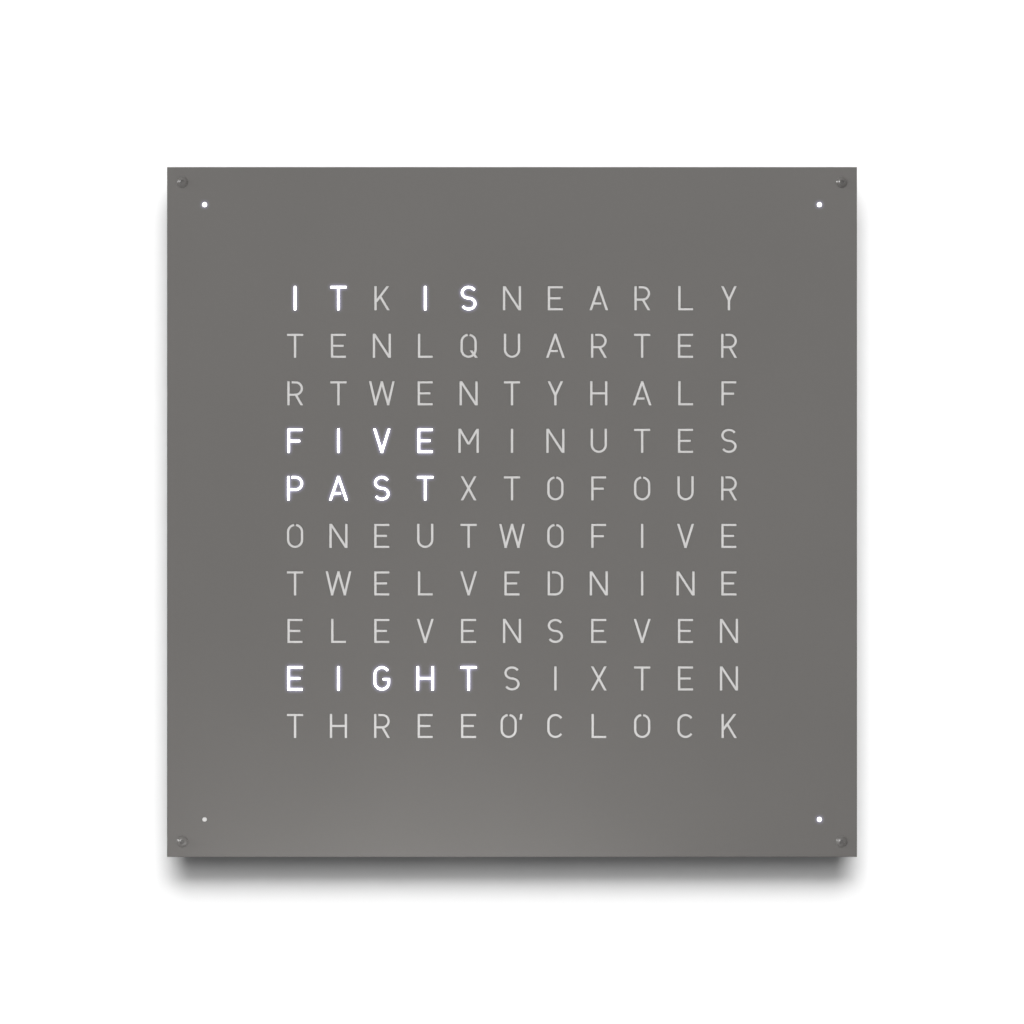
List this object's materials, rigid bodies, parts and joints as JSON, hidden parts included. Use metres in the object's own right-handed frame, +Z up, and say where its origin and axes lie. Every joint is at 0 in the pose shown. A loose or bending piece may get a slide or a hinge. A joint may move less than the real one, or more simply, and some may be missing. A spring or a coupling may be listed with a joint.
{
  "type": "word clock",
  "caption": "Square wall clock that tells the time with back-lit stencil letters, with dots for the minutes at the corners, keyholes behind and buttons and a power inlet below.",
  "frame": {"origin": "middle of the rear panel's back face, in the plane of the wall", "axes": "+X to the viewer's right, +Z up, +Y into the wall; the cover faces -Y"},
  "size_m": [0.45, 0.0222, 0.45],
  "materials": {
    "cover_coat": "matte fine-textured warm grey powder coat",
    "screw_steel": "bright zinc-plated steel",
    "insert_brass": "machined brass",
    "opal_sheet": "opal satin sheet",
    "grid_plastic": "black moulded plastic",
    "board_laminate": "solder-masked glass laminate",
    "led_body": "white package",
    "chip_plastic": "black moulded epoxy",
    "connector_plastic": "natural nylon",
    "standoff_aluminium": "turned aluminium",
    "housing_plastic": "fine-grained black moulding",
    "panel_coat": "black powder coat on steel sheet",
    "can_steel": "nickel-plated steel",
    "capacitor_sleeve": "dark blue shrink sleeve",
    "plunger_plastic": "white moulded plastic",
    "button_plastic": "satin black moulded plastic"
  },
  "bodies": {
    "case": {"front_cover": "cover_coat", "cover_screws": "screw_steel", "thread_inserts": "insert_brass", "diffuser_sheet": "opal_sheet", "light_grid": "grid_plastic", "minute_light_tubes": "grid_plastic", "led_board_upper_left": "board_laminate", "led_board_upper_right": "board_laminate", "led_board_lower_left": "board_laminate", "led_board_lower_right": "board_laminate", "matrix_leds": "led_body", "minute_leds": "led_body", "led_drivers": "chip_plastic", "board_links": "connector_plastic", "board_standoffs": "standoff_aluminium", "board_screws": "screw_steel", "housing_top": "housing_plastic", "housing_bottom": "housing_plastic", "housing_left": "housing_plastic", "housing_right": "housing_plastic", "rear_panel": "panel_coat", "rear_panel_screws": "screw_steel", "keyhole_cups": "housing_plastic", "control_board": "board_laminate", "control_board_standoffs": "standoff_aluminium", "control_board_screws": "screw_steel", "microcontroller": "chip_plastic", "clock_chip": "chip_plastic", "quartz_crystal": "can_steel", "coin_cell_holder": "connector_plastic", "coin_cell": "can_steel", "voltage_regulator": "chip_plastic", "smoothing_capacitors": "capacitor_sleeve", "board_socket": "chip_plastic", "board_plug": "connector_plastic", "dc_jack": "chip_plastic", "dc_jack_pin": "can_steel", "hour_switch": "chip_plastic", "minute_switch": "chip_plastic", "mode_switch": "chip_plastic"},
    "hour_key": {"hour_button": "button_plastic", "hour_plunger": "plunger_plastic"},
    "minute_key": {"minute_button": "button_plastic", "minute_plunger": "plunger_plastic"},
    "mode_key": {"mode_button": "button_plastic", "mode_plunger": "plunger_plastic"}
  },
  "joints": [
    {"name": "hour_press", "type": "slide", "parent": "case", "child": "hour_key", "axis": [0, 0, 1], "range_m": [0, 0.0005], "stiffness_N_per_m": 2000, "springref_m": -0.0003},
    {"name": "minute_press", "type": "slide", "parent": "case", "child": "minute_key", "axis": [0, 0, 1], "range_m": [0, 0.0005], "stiffness_N_per_m": 2000, "springref_m": -0.0003},
    {"name": "mode_press", "type": "slide", "parent": "case", "child": "mode_key", "axis": [0, 0, 1], "range_m": [0, 0.0005], "stiffness_N_per_m": 2000, "springref_m": -0.0003}
  ]
}
